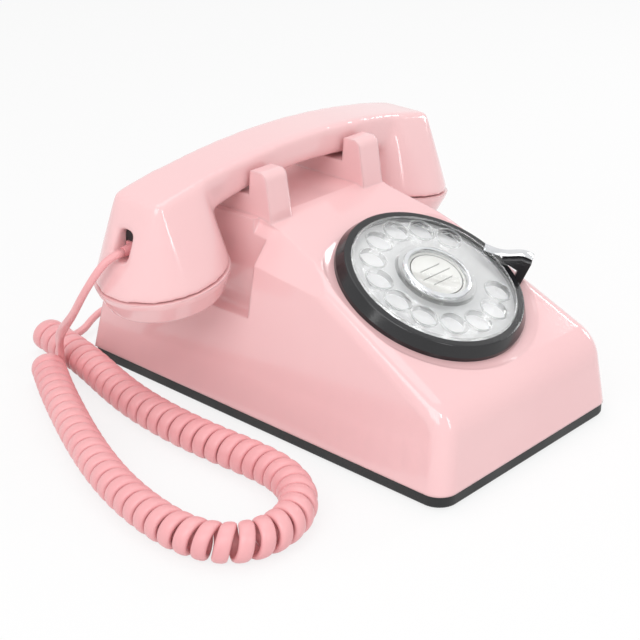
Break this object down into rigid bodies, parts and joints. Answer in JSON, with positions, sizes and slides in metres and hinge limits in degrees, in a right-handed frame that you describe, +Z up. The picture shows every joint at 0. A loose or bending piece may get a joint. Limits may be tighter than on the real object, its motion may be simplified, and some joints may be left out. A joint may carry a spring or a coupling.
{
  "type": "rotary desk telephone",
  "caption": "Compact pink desk telephone with a clear rotary dial, a lift-off handset on four cradle ears and a curly handset cord.",
  "frame": {"origin": "centre of the foot plane, under the middle of the telephone without its cord", "axes": "+X to the right seen from the dial side, -Y towards the person who dials, +Z up"},
  "size_m": [0.2618, 0.2414, 0.1165],
  "materials": {
    "pink_plastic": "gloss",
    "black_plastic": "satin",
    "white_plastic": "satin",
    "clear_plastic": "gloss",
    "chrome": "polished",
    "steel": "satin",
    "brass": "satin",
    "black_rubber": "matt",
    "card_paper": "matt",
    "board_green": "matt",
    "cord_pvc": "satin"
  },
  "bodies": {
    "base": {"housing": "pink_plastic", "base_plate": "black_plastic", "base_feet": "black_rubber", "base_screws": "steel", "dial_bezel": "black_plastic", "number_plate": "white_plastic", "dial_chassis": "steel", "governor_cup": "steel", "pulse_contacts": "brass", "stop_post": "black_plastic", "finger_stop": "chrome", "hook_switch": "black_plastic", "circuit_board": "board_green", "board_parts": "black_plastic", "ringer_frame": "steel", "gong_right": "brass", "gong_left": "brass", "ringer_coil": "black_plastic", "clapper_pin": "steel", "cord_jack": "black_plastic", "line_jack": "black_plastic", "curly_cord": "cord_pvc", "base_tail": "cord_pvc", "base_plug": "clear_plastic"},
    "dial": {"finger_wheel": "clear_plastic", "hub_ring": "chrome", "number_card": "card_paper", "card_window": "clear_plastic", "dial_spindle": "steel", "main_gear": "brass"},
    "governor": {"governor_pinion": "brass", "governor_shaft": "steel", "governor_weights": "brass"},
    "hook": {"plunger_right": "white_plastic", "plunger_left": "white_plastic", "plunger_bar": "black_plastic"},
    "clapper": {"ringer_clapper": "steel"},
    "handset": {"handset_shell": "pink_plastic", "mouthpiece_cap": "pink_plastic", "earpiece_cap": "pink_plastic", "transmitter_capsule": "black_plastic", "receiver_capsule": "black_plastic", "handset_socket": "black_plastic", "handset_plug": "clear_plastic", "handset_tail": "cord_pvc"}
  },
  "joints": [
    {"name": "dial_turn", "type": "hinge", "parent": "base", "child": "dial", "pos_m": [0, -0.0525, 0.0706], "axis": [0, 0.4305, -0.9026], "range_deg": [0, 305], "stiffness_Nm_per_rad": 0.004},
    {"name": "governor_spin", "type": "hinge", "parent": "base", "child": "governor", "pos_m": [0, -0.03093, 0.08089], "axis": [0, 0.4305, -0.9026], "range_deg": [-1373, 0]},
    {"name": "handset_lift", "type": "slide", "parent": "base", "child": "handset", "axis": [0, 0, 1], "range_m": [0, 0.09]},
    {"name": "hook_rise", "type": "slide", "parent": "base", "child": "hook", "axis": [0, 0, 1], "range_m": [0, 0.004]},
    {"name": "clapper_swing", "type": "hinge", "parent": "base", "child": "clapper", "pos_m": [0, 0.03, 0.0205], "axis": [0, 0, 1], "range_deg": [-5.5, 5.5]}
  ],
  "couplings": [
    {"joint": "governor_spin", "follows": "dial_turn", "ratio": -4.5},
    {"joint": "hook_rise", "follows": "handset_lift", "ratio": 0.0444}
  ]
}
